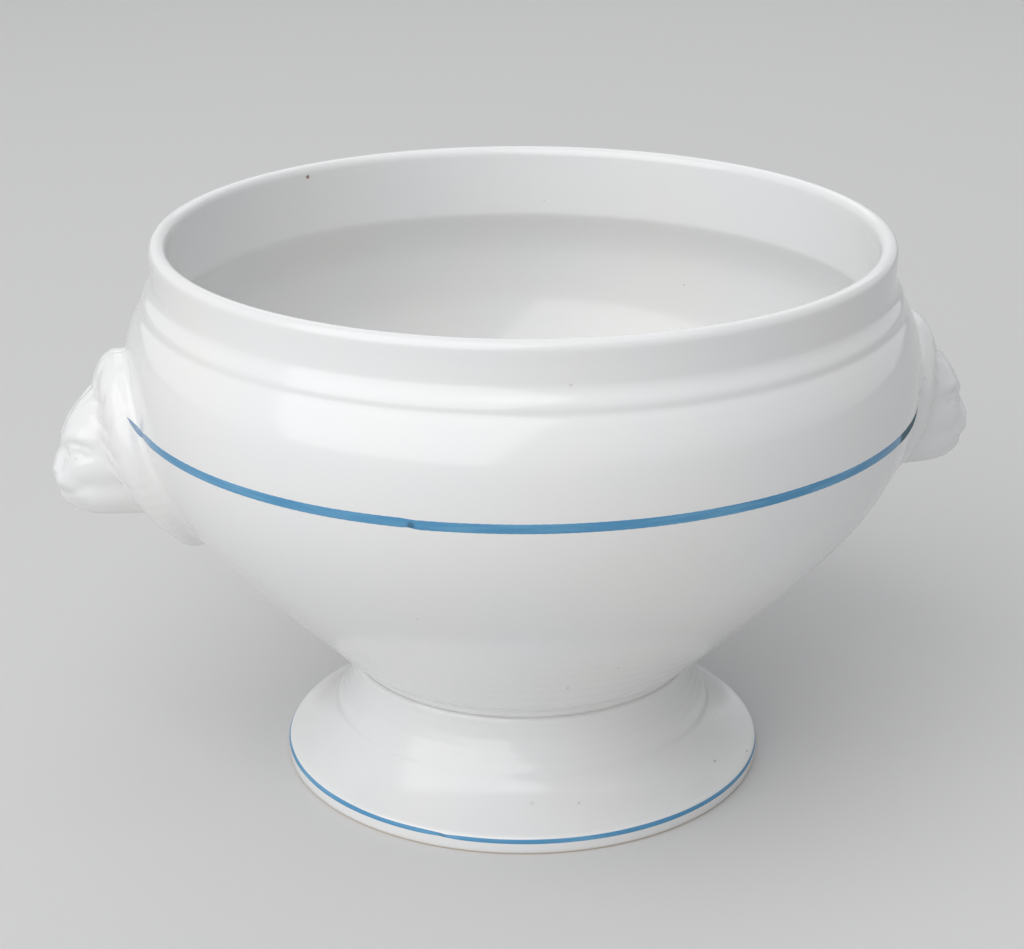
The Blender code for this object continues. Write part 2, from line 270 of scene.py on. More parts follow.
def foot_outside():
    """The foot's outer profile from under the bowl down to the resting ring."""
    top = (STEM_RADIUS, JOINT_HEIGHT - JOINT_COVE)
    step = arc((FOOT_STEP_RADIUS - FOOT_STEP_ROUND, FOOT_STEP_HEIGHT), FOOT_STEP_ROUND, 65, 0)
    flare_start = (FOOT_STEP_RADIUS, FOOT_STEP_HEIGHT - FOOT_STEP_ROUND)
    edge_centre = (FOOT_RADIUS - FOOT_EDGE_ROUND, FOOT_EDGE_HEIGHT - FOOT_EDGE_ROUND)
    edge = arc(edge_centre, FOOT_EDGE_ROUND, 70, 0)
    drawn = curve(top, (STEM_RADIUS - JOINT_GROOVE, JOINT_HEIGHT), COVE_FULLNESS)[::-1]
    drawn += curve(top, step[0], NECK_FULLNESS) + step
    drawn += curve(flare_start, edge[0], FLARE_FULLNESS) + edge
    ring_centre = (FOOT_RADIUS - RESTING_RING_ROUND, RESTING_RING_ROUND)
    return drawn + arc(ring_centre, RESTING_RING_ROUND, 0, -90)


def foot_inside():
    """The foot's hollow underside, from the resting ring up to the bowl."""
    ring = FOOT_RADIUS - RESTING_RING_WIDTH
    top = (STEM_RADIUS - FOOT_WALL, JOINT_HEIGHT)
    drawn = arc((ring + RESTING_RING_ROUND, RESTING_RING_ROUND), RESTING_RING_ROUND, -90, -180)
    return drawn + curve((ring, RESTING_RING_ROUND), top, HOLLOW_FULLNESS)


def piece(name, points, faces, finish):
    """A smooth piece from points in millimetres."""
    mesh = bpy.data.meshes.new(name)
    mesh.from_pydata((np.asarray(points) * MM).tolist(), [], faces)
    mesh.validate()
    mesh.shade_smooth()
    mesh.materials.append(finish)
    made = bpy.data.objects.new(name, mesh)
    bpy.context.collection.objects.link(made)
    return made


def turned(name, profile, finish):
    """A piece turned about the Z axis. The profile is closed, and where it meets the axis its ends make
    a point."""
    on_axis = [index for index in (0, len(profile) - 1) if profile[index][0] < 1e-6]
    ring = np.array([point for index, point in enumerate(profile) if index not in on_axis])
    angles = np.linspace(0, math.tau, TURNING_STEPS, endpoint=False)
    rows = len(ring)
    points = np.column_stack([np.outer(np.cos(angles), ring[:, 0]).ravel(),
                              np.outer(np.sin(angles), ring[:, 0]).ravel(),
                              np.tile(ring[:, 1], TURNING_STEPS)])
    faces = []
    last = rows - 1 if on_axis else rows
    for turn in range(TURNING_STEPS):
        here, there = turn * rows, (turn + 1) % TURNING_STEPS * rows
        for row in range(last):
            above = (row + 1) % rows
            faces.append((here + row, there + row, there + above, here + above))
    for index in on_axis:
        points = np.vstack([points, [0, 0, profile[index][1]]])
        tip, row = len(points) - 1, 0 if index == 0 else rows - 1
        for turn in range(TURNING_STEPS):
            here, there = turn * rows + row, (turn + 1) % TURNING_STEPS * rows + row
            faces.append((tip, there, here) if index == 0 else (tip, here, there))
    return piece(name, points, faces, finish)


outside = glazed(bowl_outside(), SHOULDER_MARKS + STEM_MARKS)
WALL_HEIGHTS, WALL_RADII = outside[::-1, 1], outside[::-1, 0]


def wall_radius(height):
    """The bowl's outer radius at a height."""
    return np.interp(height, WALL_HEIGHTS, WALL_RADII)


# Lion heads: the clay is a field, below zero inside, over a block of space that holds the head on the
# +X side. Places in the head are (out from the belly, sideways, up from the head's middle), and but for
# two presses it is alike on both sides.

GRID_OUT = np.arange(-33.0, 27.0, MOULD_GRAIN, dtype=np.float32)
GRID_SIDE = np.arange(-33.0, 33.01, MOULD_GRAIN, dtype=np.float32)
GRID_UP = np.arange(-37.2, 36.0, MOULD_GRAIN, dtype=np.float32)
OUT, LEFT, UP = GRID_OUT[:, None, None], GRID_SIDE[None, :, None], GRID_UP[None, None, :]
SIDE = np.abs(LEFT)

# The mane is a thick ruff lying on the wall: the line of its crest, how far it reaches from there to its
# edge, its height over the wall, which is less under the chin and by the temples, and how far its edge
# dips into the wall
MANE_SIDEWAYS = 15.8
MANE_UPWARD = 17.2
MANE_DOWNWARD = 21.5
MANE_REACH = 12.0
MANE_BREADTH = 8.0
MANE_HEIGHT = 8.6
MANE_LOW_HEIGHT = 5.4
MANE_UPPER_FALL = 0.6
MANE_LIFT = 0.8
MANE_DIP = math.radians(9)
MANE_MASSES = 52
MANE_SEAM = 0.8

# The face from the front: its middle line as (up, out), and its half width as (up, sideways)
FACE_MIDDLE = ((36.0, -16.0), (26.0, 0.5), (22.0, 6.4), (19.0, 10.1), (13.0, 15.2), (9.0, 18.0),
               (5.0, 19.6), (2.4, 20.1), (0.6, 20.4), (-2.0, 21.7), (-5.0, 22.8), (-7.0, 23.2),
               (-9.0, 22.9), (-11.4, 22.2), (-13.6, 21.8), (-17.0, 21.1), (-24.0, 19.0), (-37.0, 14.0))
FACE_WIDTH = ((36.0, 8.0), (26.0, 11.0), (19.0, 14.2), (10.0, 16.8), (1.0, 17.4), (-7.0, 16.4),
              (-14.0, 14.4), (-20.0, 12.0), (-24.0, 10.0), (-37.0, 6.0))
FACE_BACK = -6.0
FACE_SQUARENESS = 2.1
FACE_FALL = 3.0
FACE_SEAM = 2.6
FACE_TOP = 25.0
JAW_BOTTOM = -21.0
JAW_RISE = 0.09
JAW_ROUND = 9.0

# Lines of the face as seen from the front: places (sideways, up), half width, and depth into the clay;
# a depth below zero is a raised line
FACE_LINES = {
    "forehead_furrow": (((0.0, 4.6), (0.0, 8.0), (0.0, 12.0)), 1.3, 0.4),
    "brow": (((3.0, 3.0), (6.0, 5.0), (9.6, 6.4), (12.6, 5.8)), 2.0, -0.55),
    "brow_crease": (((4.4, 1.4), (6.6, 3.2), (9.4, 4.2), (12.0, 3.8)), 0.9, 0.4),
    "eye_hollow": (((5.8, -0.4), (8.6, 1.0), (11.8, 2.0)), 2.2, 1.0),
    "eye": (((8.2, 0.6), (9.8, 1.3)), 1.4, -1.0),
    "upper_lid": (((5.4, -1.0), (7.2, 1.5), (9.6, 2.7), (12.2, 2.4)), 0.7, -0.45),
    "lower_lid": (((5.4, -1.2), (8.0, -1.0), (10.4, -0.1), (12.2, 2.0)), 0.6, -0.3),
    "nose_side": (((5.2, 0.6), (5.0, -1.6), (5.4, -4.0), (6.2, -6.2)), 1.3, 0.75),
    "nose_wing": (((3.4, -4.6), (5.0, -5.6)), 1.6, -0.5),
    "nose_pad": (((1.4, -8.9), (3.0, -8.5), (5.2, -7.2), (6.2, -5.4)), 1.0, 0.3),
    "nose_top": (((0.0, -4.4), (2.6, -4.5), (4.8, -5.0)), 0.8, 0.25),
    "nostril": (((2.0, -7.6), (3.4, -7.3), (4.3, -6.4)), 0.7, 0.7),
    "lip_cleft": (((0.0, -9.8), (0.0, -11.6)), 1.0, 0.25),
    "whisker_pad": (((4.2, -9.9), (7.0, -8.8)), 2.8, -0.65),
    "muzzle_side": (((7.0, -3.0), (8.6, -5.4), (10.4, -8.0)), 2.2, 0.4),
    "mouth": (((0.0, -11.6), (3.2, -12.9), (6.8, -12.4)), 1.1, 0.45),
    "mouth_side": (((6.4, -12.5), (9.4, -10.8), (11.4, -8.6)), 1.1, 0.35),
    "mouth_corner": (((11.2, -9.2), (14.6, -7.6)), 3.0, 0.8),
    "chin": (((0.0, -16.4), (3.0, -16.0)), 2.2, -0.35),
    "temple": (((10.6, 9.6), (12.6, 6.6), (13.6, 2.6)), 1.8, 0.3),
}
HAIR_LINES = {
    "hairline": (((0.0, 18.6), (5.0, 18.2), (10.0, 15.8), (13.4, 11.0)), 1.0, 0.35),
    "forelock": (((0.0, 15.6), (0.5, 18.0), (0.0, 21.4)), 1.1, 0.4),
    "forelock_side": (((4.0, 15.4), (5.0, 18.0), (4.6, 21.4)), 1.1, 0.5),
    "forelock_outer": (((8.2, 14.6), (9.4, 17.0), (9.2, 20.4)), 1.1, 0.5),
}

# Where the clay was pressed a little flat, on one side only: places (towards the lion's left, up), width
# and depth
MANE_PRESS = (((-17.0, 8.0), (-17.5, -4.0), (-15.0, -15.0)), 8.0, 1.2)
JAW_PRESS = (((4.0, -15.0), (7.0, -18.5), (9.0, -20.0)), 5.0, 1.2)
JAW_PRESS_SPAN = (9.0, 18.0)

LOCKS_PER_SIDE = 8
LOCK_DEPTH = 1.1
LOCK_CURL = 0.7
LOCK_SHARPNESS = 0.35
LOCK_SOFTNESS = 0.03
LOCK_START = (-0.4, 0.0)
LOCK_FADE = (0.35, 0.95)
STROKE_END = 0.2
STROKE_END_DEPTH = 0.55
STROKE_SPACING = 0.3


def ball_gap(along, size):
    """About how far places lie outside a rounded mass, from their ways along its axes."""
    parts = [part / length for part, length in zip(along, size)]
    reach = np.sqrt(sum(part * part for part in parts))
    slope = np.sqrt(sum((part / length) ** 2 for part, length in zip(parts, size)))
    return reach * (reach - 1) / np.maximum(slope, 1e-6)


def joined(first, second, soft):
    """Two masses of clay, pressed together with a soft seam."""
    near = np.maximum(soft - np.abs(first - second), 0) / soft
    return np.minimum(first, second) - near * near * soft / 4


def flowing(places):
    """A smooth line through places."""
    first, last = 2 * np.array(places[0]) - places[1], 2 * np.array(places[-1]) - places[-2]
    knots = np.array([first, *places, last])
    line = []
    for before, here, there, after in zip(knots, knots[1:], knots[2:], knots[3:]):
        steps = max(int(np.linalg.norm(there - here) / STROKE_SPACING), 2)
        for share in np.linspace(0, 1, steps, endpoint=False):
            line.append(0.5 * (2 * here + (there - before) * share
                               + (2 * before - 5 * here + 4 * there - after) * share ** 2
                               + (3 * here - before - 3 * there + after) * share ** 3))
    return np.array([*line, knots[-2]])


def drawn_line(places, half_width, depth, sideways=SIDE):
    """How deep a line of the face cuts, over the front of the head. It thins towards its ends."""
    line = flowing(places)
    order = np.arange(len(line))
    ends = np.minimum(order, order[::-1]) / (STROKE_END * len(line))
    strength = STROKE_END_DEPTH + (1 - STROKE_END_DEPTH) * np.clip(ends, 0, 1)
    deepest = np.zeros((1, len(GRID_SIDE), len(GRID_UP)), np.float32)
    for (side, up), share in zip(line, strength):
        gap = ((sideways - side) ** 2 + (UP - up) ** 2) / (half_width * half_width)
        deepest = np.maximum(deepest, share * np.exp(-gap))
    return depth * deepest


def smooth_rise(value, low, high):
    """0 below one value and 1 above another, with a smooth rise between them."""
    share = np.clip((value - low) / (high - low), 0, 1)
    return share * share * (3 - 2 * share)


def mane_crest(angle):
    """The place of the mane's crest at an angle round the face, as seen from the front."""
    up = MANE_UPWARD if math.sin(angle) > 0 else MANE_DOWNWARD
    return MANE_SIDEWAYS * math.cos(angle), up * math.sin(angle)


def mane_mass(angle):
    """A stretch of the mane, lying on the wall."""
    side, up = mane_crest(angle)
    radius = wall_radius(HEAD_HEIGHT + up)
    above, below = HEAD_HEIGHT + up + MANE_BREADTH, HEAD_HEIGHT + up - MANE_BREADTH
    spread = wall_radius(above) - wall_radius(below)
    root = Vector((math.sqrt(radius * radius - side * side), side, up))
    outward = Vector((root.x / radius, root.y / radius, -spread / (2 * MANE_BREADTH))).normalized()
    along = Vector((0, math.cos(angle), math.sin(angle)))
    along = (along - along.dot(outward) * outward).normalized()
    middle = root + MANE_LIFT * outward - Vector((BELLY[0], 0, 0))
    gaps = OUT - middle.x, SIDE - middle.y, UP - middle.z
    height = MANE_HEIGHT + (MANE_HEIGHT - MANE_LOW_HEIGHT) * min(math.sin(angle), 0)
    height -= MANE_UPPER_FALL * max(math.sin(2 * angle), 0) * (math.sin(angle) > 0)
    size = height, MANE_BREADTH, MANE_REACH
    across = along.cross(outward)
    dipped = Matrix.Rotation(MANE_DIP, 3, across)
    axes = dipped @ outward, across, dipped @ along
    return ball_gap([sum(gap * part for gap, part in zip(gaps, axis)) for axis in axes], size)


def mane_relief():
    """How deep the hollows between the mane's locks are, over the front of the head."""
    angle = np.arctan2(UP, SIDE)
    up_reach = np.where(UP > 0, MANE_UPWARD, MANE_DOWNWARD)
    share = np.hypot(SIDE / MANE_SIDEWAYS, UP / up_reach) - 1
    share = share / (MANE_REACH / MANE_SIDEWAYS)
    swirl = LOCK_CURL * np.sin(np.clip(share, 0, 1) * math.pi)
    lock = np.sin(math.pi * (LOCKS_PER_SIDE * (angle / math.pi + 0.5) + swirl))
    hollow = 1 - (lock ** 2 + LOCK_SOFTNESS) ** LOCK_SHARPNESS
    zone = smooth_rise(share, *LOCK_START) * (1 - smooth_rise(share, *LOCK_FADE))
    return zone * LOCK_DEPTH * hollow


def face_block():
    """The smooth mass of the face and jaw, drawn from its middle line and its width."""
    middle, width = flowing(FACE_MIDDLE)[::-1], flowing(FACE_WIDTH)[::-1]
    out = np.interp(UP, middle[:, 0], middle[:, 1])
    half = np.interp(UP, width[:, 0], width[:, 1])
    share = np.minimum(SIDE / half, 1)
    front = FACE_BACK + (out - FACE_BACK) * (1 - share ** FACE_SQUARENESS) ** (1 / FACE_SQUARENESS)
    front = front - FACE_FALL * np.maximum(SIDE - half, 0)
    slopes = np.gradient(front[0], MOULD_GRAIN)
    block = (OUT - front) / np.sqrt(1 + slopes[0] ** 2 + slopes[1] ** 2)[None]
    block = np.maximum(block, UP - FACE_TOP)
    jaw = JAW_BOTTOM - JAW_RISE * (OUT - HEAD_PROJECTION / 2)
    return -joined(-block, UP - jaw, JAW_ROUND)


def lion_clay():
    """The whole head as it leaves the mould, before it is luted to the bowl."""
    mane = None
    for index in range(MANE_MASSES):
        angle = math.tau * (index + 0.5) / MANE_MASSES
        if math.cos(angle) > -1e-6:
            mass = mane_mass(angle)
            mane = mass if mane is None else joined(mane, mass, MANE_SEAM)
    hair = sum(drawn_line(*line) for line in HAIR_LINES.values())
    face = sum(drawn_line(*line) for line in FACE_LINES.values())
    mane = mane + mane_relief() + drawn_line(*MANE_PRESS, LEFT)
    face = face_block() + face + drawn_line(*JAW_PRESS, LEFT) * smooth_rise(OUT, *JAW_PRESS_SPAN)
    return joined(mane + hair, face + hair, FACE_SEAM)


def skin(field, corner, step):
    """The surface where a field is zero, as points and four-sided faces that look out of the clay."""
    inside = field < 0
    shape = np.array(field.shape) - 1
    corners = [(a, b, c) for a in (0, 1) for b in (0, 1) for c in (0, 1)]

    def shifted(block, offset):
        return block[tuple(slice(o, o + n) for o, n in zip(offset, shape))]

    count = sum(shifted(inside, offset).astype(np.int8) for offset in corners)
    cells = np.argwhere((count > 0) & (count < 8))
    number = np.full(shape, -1, np.int64)
    number[tuple(cells.T)] = np.arange(len(cells))
    values = {offset: field[tuple((cells + offset).T)] for offset in corners}
    total, crossings = np.zeros((len(cells), 3)), np.zeros(len(cells))
    for here in corners:
        for axis in range(3):
            if here[axis]:
                continue
            there = tuple(1 if index == axis else value for index, value in enumerate(here))
            first, second = values[here], values[there]
            cross = (first < 0) != (second < 0)
            share = np.where(cross, first / np.where(cross, first - second, 1), 0)
            spot = np.tile(np.array(here, float), (len(cells), 1))
            spot[:, axis] = share
            total += np.where(cross[:, None], spot, 0)
            crossings += cross
    points = (cells + total / crossings[:, None]) * step + corner
    faces = []
    for axis in range(3):
        low = tuple(slice(0, -1) if index == axis else slice(1, -1) for index in range(3))
        high = tuple(slice(1, None) if index == axis else slice(1, -1) for index in range(3))
        cross = inside[low] != inside[high]
        where = np.argwhere(cross) + [0 if index == axis else 1 for index in range(3)]
        side, rise = (axis + 1) % 3, (axis + 2) % 3
        loop = []
        for back_side, back_rise in ((1, 1), (0, 1), (0, 0), (1, 0)):
            cell = where.copy()
            cell[:, side] -= back_side
            cell[:, rise] -= back_rise
            loop.append(number[tuple(cell.T)])
        loop = np.column_stack(loop)
        outward = inside[tuple(where.T)]
        faces.append(np.where(outward[:, None], loop, loop[:, ::-1]))
    return points, np.vstack(faces)


def smoothed(points, faces):
    """The points of a skin with the mould's grain rubbed off, without shrinking it."""
    starts, ends = faces.ravel(), np.roll(faces, -1, axis=1).ravel()
    links = np.concatenate([starts, ends]), np.concatenate([ends, starts])
    shares = np.bincount(links[0], minlength=len(points))
    for _ in range(GRAIN_RUBS):
        for push in RUB_PUSHES:
            sums = [np.bincount(links[0], weights=points[links[1], axis], minlength=len(points))
                    for axis in range(3)]
            middle = np.column_stack(sums) / shares[:, None]
            points = points + push * (middle - points)
    return points


wall_by_height = wall_radius(HEAD_HEIGHT + GRID_UP)
wall_slope = np.gradient(wall_by_height, GRID_UP)
off_wall = np.sqrt((OUT + BELLY[0]) ** 2 + LEFT ** 2) - wall_by_height[None, None, :]
off_wall = (off_wall / np.sqrt(1 + wall_slope ** 2)[None, None, :]).astype(np.float32)
lion = lion_clay()
fillet = HEAD_FILLET + (HEAD_LOW_FILLET - HEAD_FILLET) * smooth_rise(-UP, *LOW_FILLET_SPAN)
luted = joined(lion, off_wall + HEAD_SINK, fillet)
luted = np.maximum(luted, -(off_wall + HEAD_BURIAL))
luted = np.maximum(luted, lion - fillet)
head_points, head_faces = skin(luted, (GRID_OUT[0], GRID_SIDE[0], GRID_UP[0]), MOULD_GRAIN)
head_points = smoothed(head_points, head_faces) + (BELLY[0], 0, HEAD_HEIGHT)


# Finishes

class Wire:
    """An output of a material's nodes. Sums of wires and numbers become Math nodes."""

    def __init__(self, tree, socket=None):
        self.tree = tree
        self.socket = socket

    def node(self, kind, settings=None, sockets=None, output=0):
        """Any node: its settings are set first, then its sockets take numbers, colours or wires."""
        made = self.tree.nodes.new(kind)
        for name, value in (settings or {}).items():
            setattr(made, name, value)
        for name, value in (sockets or {}).items():
            if isinstance(value, Wire):
                self.tree.links.new(value.socket, made.inputs[name])
            else:
                made.inputs[name].default_value = value
        return Wire(self.tree, made.outputs[output])

    def sum(self, operation, first, second):
        return self.node("ShaderNodeMath", {"operation": operation}, {0: first, 1: second})

    def __add__(self, other):
        return self.sum("ADD", self, other)

    def __radd__(self, other):
        return self.sum("ADD", other, self)

    def __sub__(self, other):
        return self.sum("SUBTRACT", self, other)

    def __rsub__(self, other):
        return self.sum("SUBTRACT", other, self)

    def __mul__(self, other):
        return self.sum("MULTIPLY", self, other)

    def __rmul__(self, other):
        return self.sum("MULTIPLY", other, self)

    def step(self, low, high):
        """0 below one value and 1 above another, with a smooth rise between them."""
        return self.node("ShaderNodeMapRange", {"interpolation_type": "SMOOTHSTEP"},
                         {"Value": self, "From Min": low, "From Max": high})

    def noise(self, place, scale, detail=2.0, roughness=0.5):
        return self.node("ShaderNodeTexNoise", None,
                         {"Vector": place, "Scale": scale, "Detail": detail, "Roughness": roughness})

    def tinted(self, colour, other, share):
        """One colour going over to another."""
        sockets = {0: share, 6: colour, 7: other}
        return self.node("ShaderNodeMix", {"data_type": "RGBA"}, sockets, output=2)

    def near(self, place, spot, size):
        """1 at a spot given in millimetres, falling to 0 at a distance from it."""
        gap = self.node("ShaderNodeVectorMath", {"operation": "DISTANCE"},
                        {0: place, 1: [part * MM for part in spot]}, output="Value")
        return 1 - gap.step(SPOT_CORE * size * MM, size * MM)


def new_finish(name):
    """A material, its shader, and a wire that makes its nodes."""
    finish = bpy.data.materials.new(name)
    finish.use_nodes = True
    shader = finish.node_tree.nodes["Principled BSDF"]
    return finish, shader, Wire(finish.node_tree)


def connect(shader, wires):
    """Lead wires to the shader's sockets."""
    for socket, wire in wires.items():
        wire.tree.links.new(wire.socket, shader.inputs[socket])


def colour(*parts):
    return (*parts, 1.0)


GLAZE = colour(0.850, 0.848, 0.842)
GLAZE_COOL = colour(0.830, 0.840, 0.852)
GLAZE_WARM = colour(0.855, 0.845, 0.820)
BARE_CLAY = colour(0.640, 0.560, 0.440)
SPECK = colour(0.180, 0.165, 0.150)
RUST = colour(0.220, 0.060, 0.030)
PAINTED_GROOVE_SHADE = colour(0.600, 0.590, 0.565)
GLAZE_IOR = 1.52

# How fine each change of the glaze is, per metre, the depth of its ripple, and the heights over which
# the painted shade in the joint's groove and the bare resting ring show
CLOUDS = 14.0
MOTTLE = 90.0
SPECK_CELLS = 150.0
GLOSS_PATCHES = 35.0
RIPPLE = 26.0
FINE_RIPPLE = 240.0
CLAY_GRAIN = 900.0
RIPPLE_DEPTH = 0.22
PAINTED_GROOVE_SHADE_SPAN = (0.1, 1.6)
BARE_SPAN = (0.35, 0.9)
SPOT_CORE = 0.2
SPECKLE = 0.55

# Stains of the kiln that the glaze has kept: place, size, colour and how dark
BOWL_SPOTS = (
    ((-56.0, 90.8, 167.7), 1.0, RUST, 0.9),
    ((-8.0, -111.6, 159.3), 0.7, SPECK, 0.22),
    ((0.1, -71.8, 52.5), 0.8, SPECK, 0.5),
)
HEAD_SPOTS = (
    ((-136.7, -10.3, 110.4), 0.6, SPECK, 0.18),
    ((121.1, -24.2, 124.7), 0.7, SPECK, 0.22),
)
FOOT_SPOTS = (
    ((53.1, -43.1, 8.9), 0.9, SPECK, 0.4),
    ((-8.9, -64.3, 11.5), 1.0, SPECK, 0.15),
    ((5.2, -65.5, 10.8), 0.7, SPECK, 0.25),
)


def white_glaze(name, spots, speckle=SPECKLE, bare_ring=False):
    """White glaze over earthenware: soft clouds of tone, painted shade in the joint's groove, kiln
    specks, a slow ripple, and bare clay where it stood."""
    finish, shader, wire = new_finish(name)
    place = wire.node("ShaderNodeTexCoord", output="Object")
    clouds = wire.noise(place, CLOUDS, 3.0).step(0.35, 0.68)
    mottle = wire.noise(place, MOTTLE)
    tone = wire.tinted(GLAZE_COOL, GLAZE_WARM, clouds)
    tone = wire.tinted(tone, GLAZE, 0.35 + 0.4 * mottle)
    height = wire.node("ShaderNodeSeparateXYZ", None, {0: place}, output="Z")
    # Painted shade: the glaze is greyed in a narrow band round the joint with the foot, where the groove
    # lies in shade
    off_joint = height - JOINT_HEIGHT * MM
    painted_groove_shade = 1 - wire.sum("ABSOLUTE", off_joint, 0.0).step(*[edge * MM for edge in PAINTED_GROOVE_SHADE_SPAN])
    tone = wire.tinted(tone, PAINTED_GROOVE_SHADE, painted_groove_shade * (0.1 + 0.3 * mottle))
    spread = {"Vector": place, "Scale": SPECK_CELLS}
    cells = wire.node("ShaderNodeTexVoronoi", {"feature": "F1"}, spread, output="Distance")
    lots = wire.node("ShaderNodeTexVoronoi", {"feature": "F1"}, spread, output="Color")
    lot = wire.node("ShaderNodeSeparateColor", None, {0: lots}, output=0)
    specks = (1 - cells.step(0.03, 0.075)) * lot.step(0.955, 0.97)
    tone = wire.tinted(tone, SPECK, specks * speckle)
    for spot, size, stain, depth in spots:
        tone = wire.tinted(tone, stain, wire.near(place, spot, size) * depth)
    gloss = 0.11 + 0.05 * wire.noise(place, GLOSS_PATCHES) + 0.12 * specks
    if bare_ring:
        bare = 1 - height.step(*[edge * MM for edge in BARE_SPAN])
        grain = wire.noise(place, CLAY_GRAIN, 3.0)
        tone = wire.tinted(tone, BARE_CLAY, bare * (0.75 + 0.25 * grain))
        gloss = gloss + bare * 0.55
    ripple = wire.noise(place, RIPPLE, 1.0) + 0.10 * wire.noise(place, FINE_RIPPLE, 1.0)
    depth = {"Height": ripple, "Distance": RIPPLE_DEPTH * MM, "Strength": 0.35}
    bump = wire.node("ShaderNodeBump", None, depth)
    shader.inputs["IOR"].default_value = GLAZE_IOR
    connect(shader, {"Base Color": tone, "Roughness": gloss, "Normal": bump})
    return finish


BLUE = colour(0.098, 0.305, 0.525)
BLUE_THIN = colour(0.175, 0.415, 0.625)
BLUE_THICK = colour(0.035, 0.080, 0.115)
BLUE_DOUBLE = colour(0.150, 0.210, 0.225)
BLUE_PAINTED_LIGHT = colour(0.310, 0.380, 0.490)

# How fine the marks of the brush are, per metre, how much closer they lie across the line, and their
# depth
STREAKS = 70.0
STREAK_CLOSENESS = 14.0
BRUSH_LOAD = 28.0
STREAK_DEPTH = 0.04
ENAMEL = {"Specular IOR Level": 0.0, "Coat Weight": 1.0, "Coat IOR": 1.3, "Coat Roughness": 0.2}

# Marks in the lines: place, size and how strong, and how far along X the second stroke starts
BODY_LINE_LAPS = (((-50.2, -109.2, 122.1), 1.7, 0.6),)
# Painted light: the blue is made paler and greyer about the left tip of the front line, where it runs
# onto the lit mane
BODY_LINE_PAINTED_LIGHT = (((-121.0, -23.0, 126.6), 16.0, 0.8),)
FOOT_LINE_LAPS = (((-36.6, -66.3, 4.6), 1.6, 0.35),)
SECOND_STROKE_START = 97.3
SECOND_STROKE_EDGE = 1.0


def blue_paint(name, laps=(), painted_light_spots=(), double_from=None):
    """Blue enamel laid on with a brush: streaks along the stroke, thin places, dark laps where strokes
    meet, painted light that makes the blue paler and greyer at a lit end, and a stretch past some way
    along X where a second stroke lies over the first."""
    finish, shader, wire = new_finish(name)
    place = wire.node("ShaderNodeTexCoord", output="Object")
    closer = {0: place, 1: (1.0, 1.0, STREAK_CLOSENESS)}
    stretched = wire.node("ShaderNodeVectorMath", {"operation": "MULTIPLY"}, closer)
    streaks = wire.noise(stretched, STREAKS, 3.0)
    load = wire.noise(place, BRUSH_LOAD)
    thin = (0.6 * streaks + 0.4 * load).step(0.42, 0.68)
    tone = wire.tinted(BLUE, BLUE_THIN, 0.65 * thin)
    for spot, size, depth in laps:
        tone = wire.tinted(tone, BLUE_THICK, wire.near(place, spot, size) * depth)
    # Painted light: paler, greyer blue at the given spots
    for spot, size, depth in painted_light_spots:
        tone = wire.tinted(tone, BLUE_PAINTED_LIGHT, wire.near(place, spot, size) * depth)
    for socket, value in ENAMEL.items():
        shader.inputs[socket].default_value = value
    if double_from is not None:
        along = wire.node("ShaderNodeSeparateXYZ", None, {0: place}, output="X")
        double = along.step(double_from * MM, (double_from + SECOND_STROKE_EDGE) * MM)
        tone = wire.tinted(tone, BLUE_DOUBLE, double * 0.9)
        connect(shader, {"Coat Weight": 1 - double})
    gloss = 0.14 + 0.14 * streaks
    relief = {"Height": streaks, "Distance": STREAK_DEPTH * MM, "Strength": 0.5}
    bump = wire.node("ShaderNodeBump", None, relief)
    connect(shader, {"Base Color": tone, "Roughness": gloss, "Normal": bump})
    return finish


bowl_glaze = white_glaze("bowl_glaze", BOWL_SPOTS)
foot_glaze = white_glaze("foot_glaze", FOOT_SPOTS, bare_ring=True)
head_glaze = white_glaze("head_glaze", HEAD_SPOTS, speckle=0.0)
line_paints = {
    "front": blue_paint("front_line_paint", BODY_LINE_LAPS, BODY_LINE_PAINTED_LIGHT, SECOND_STROKE_START),
    "back": blue_paint("back_line_paint"),
}
foot_line_paint = blue_paint("foot_line_paint", FOOT_LINE_LAPS)


def stands_for(made, slot, *nodes):
    """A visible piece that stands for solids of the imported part."""
    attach(made, "root")
    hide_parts(*nodes)


# The bowl and its foot

lining = glazed(bowl_inside())
underside = [(UNDERSIDE_RADIUS, JOINT_HEIGHT), (0.0, JOINT_HEIGHT)]
bowl = turned("glazed_bowl", np.vstack([lining, outside[1:], underside]), bowl_glaze)
stands_for(bowl, "white_glaze", "bowl_body")

hollow = glazed(foot_inside())
foot_profile = glazed(foot_outside(), FOOT_MARKS, FOOT_GLAZE_ROUNDING)
foot = turned("glazed_foot", np.vstack([foot_profile, hollow[1:]]), foot_glaze)
stands_for(foot, "white_glaze", "pedestal_foot")

for name, turn in (("lion_head_right", 1), ("lion_head_left", -1)):
    places = head_points * (turn, turn, 1)
    head = piece("glazed_" + name, places, head_faces.tolist(), head_glaze)
    stands_for(head, "white_glaze", name)


# Painted lines

head_shell = BVHTree.FromPolygons(head_points.tolist(), head_faces.tolist())


